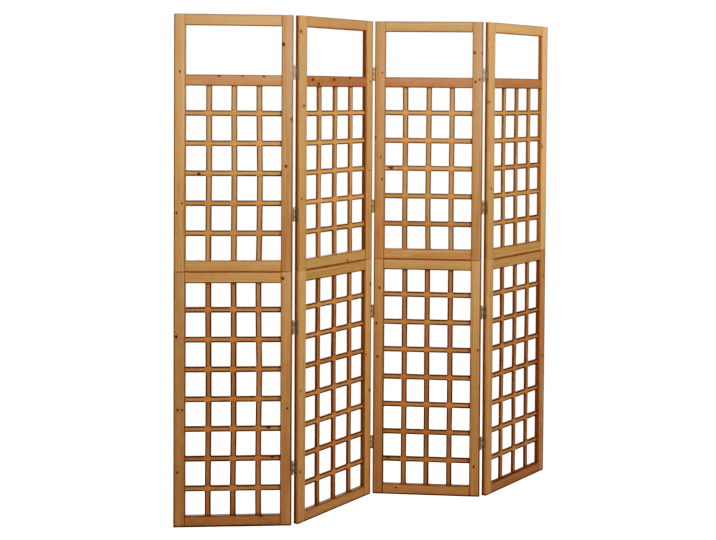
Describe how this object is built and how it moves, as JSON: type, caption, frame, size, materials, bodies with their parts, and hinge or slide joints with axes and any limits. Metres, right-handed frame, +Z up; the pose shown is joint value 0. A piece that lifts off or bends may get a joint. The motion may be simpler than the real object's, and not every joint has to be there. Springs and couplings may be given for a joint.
{
  "type": "folding screen",
  "caption": "Free-standing wooden folding screen of open lattice panels with a clear window strip at the top, standing in a zigzag on knuckle hinges.",
  "frame": {"origin": "on the floor, at the centre of the screen's bounding box as it stands in its zigzag", "axes": "+X along the screen's run from panel 1 to panel 4, +Y across the folds from front to back, +Z up"},
  "size_m": [1.5003, 0.2381, 1.8],
  "materials": {
    "frame_wood": "warm brown stained softwood, low satin, dark knots",
    "slat_wood": "warm brown stained softwood slats, low satin",
    "dowel_wood": "plain fluted beech, unfinished",
    "hinge_steel": "dull zinc-plated pressed steel",
    "screw_steel": "dull zinc-plated steel, darker in the recess"
  },
  "bodies": {
    "panel_1": {"panel_1_lower_left_stile": "frame_wood", "panel_1_lower_right_stile": "frame_wood", "panel_1_lower_rails": "frame_wood", "panel_1_lower_uprights": "slat_wood", "panel_1_lower_crossbars": "slat_wood", "panel_1_upper_left_stile": "frame_wood", "panel_1_upper_right_stile": "frame_wood", "panel_1_upper_rails": "frame_wood", "panel_1_upper_uprights": "slat_wood", "panel_1_upper_crossbars": "slat_wood", "panel_1_joining_dowels": "dowel_wood", "panel_1_hinge_screws": "screw_steel", "fold_1_left_leaves": "hinge_steel", "fold_1_hinge_pins": "hinge_steel"},
    "panel_2": {"panel_2_lower_left_stile": "frame_wood", "panel_2_lower_right_stile": "frame_wood", "panel_2_lower_rails": "frame_wood", "panel_2_lower_uprights": "slat_wood", "panel_2_lower_crossbars": "slat_wood", "panel_2_upper_left_stile": "frame_wood", "panel_2_upper_right_stile": "frame_wood", "panel_2_upper_rails": "frame_wood", "panel_2_upper_uprights": "slat_wood", "panel_2_upper_crossbars": "slat_wood", "panel_2_joining_dowels": "dowel_wood", "panel_2_hinge_screws": "screw_steel", "fold_1_right_leaves": "hinge_steel", "fold_2_left_leaves": "hinge_steel", "fold_2_hinge_pins": "hinge_steel"},
    "panel_3": {"panel_3_lower_left_stile": "frame_wood", "panel_3_lower_right_stile": "frame_wood", "panel_3_lower_rails": "frame_wood", "panel_3_lower_uprights": "slat_wood", "panel_3_lower_crossbars": "slat_wood", "panel_3_upper_left_stile": "frame_wood", "panel_3_upper_right_stile": "frame_wood", "panel_3_upper_rails": "frame_wood", "panel_3_upper_uprights": "slat_wood", "panel_3_upper_crossbars": "slat_wood", "panel_3_joining_dowels": "dowel_wood", "panel_3_hinge_screws": "screw_steel", "fold_2_right_leaves": "hinge_steel", "fold_3_left_leaves": "hinge_steel", "fold_3_hinge_pins": "hinge_steel"},
    "panel_4": {"panel_4_lower_left_stile": "frame_wood", "panel_4_lower_right_stile": "frame_wood", "panel_4_lower_rails": "frame_wood", "panel_4_lower_uprights": "slat_wood", "panel_4_lower_crossbars": "slat_wood", "panel_4_upper_left_stile": "frame_wood", "panel_4_upper_right_stile": "frame_wood", "panel_4_upper_rails": "frame_wood", "panel_4_upper_uprights": "slat_wood", "panel_4_upper_crossbars": "slat_wood", "panel_4_joining_dowels": "dowel_wood", "panel_4_hinge_screws": "screw_steel", "fold_3_right_leaves": "hinge_steel"}
  },
  "joints": [
    {"name": "fold_1", "type": "hinge", "parent": "panel_1", "child": "panel_2", "pos_m": [-0.36458, -0.07826, 0.9], "axis": [0, 0, 1], "range_deg": [-53, 127]},
    {"name": "fold_2", "type": "hinge", "parent": "panel_2", "child": "panel_3", "pos_m": [0.01068, 0.10117, 0.9], "axis": [0, 0, 1], "range_deg": [-118.5, 61.5]},
    {"name": "fold_3", "type": "hinge", "parent": "panel_3", "child": "panel_4", "pos_m": [0.37429, -0.10083, 0.9], "axis": [0, 0, 1], "range_deg": [-60, 120]}
  ]
}
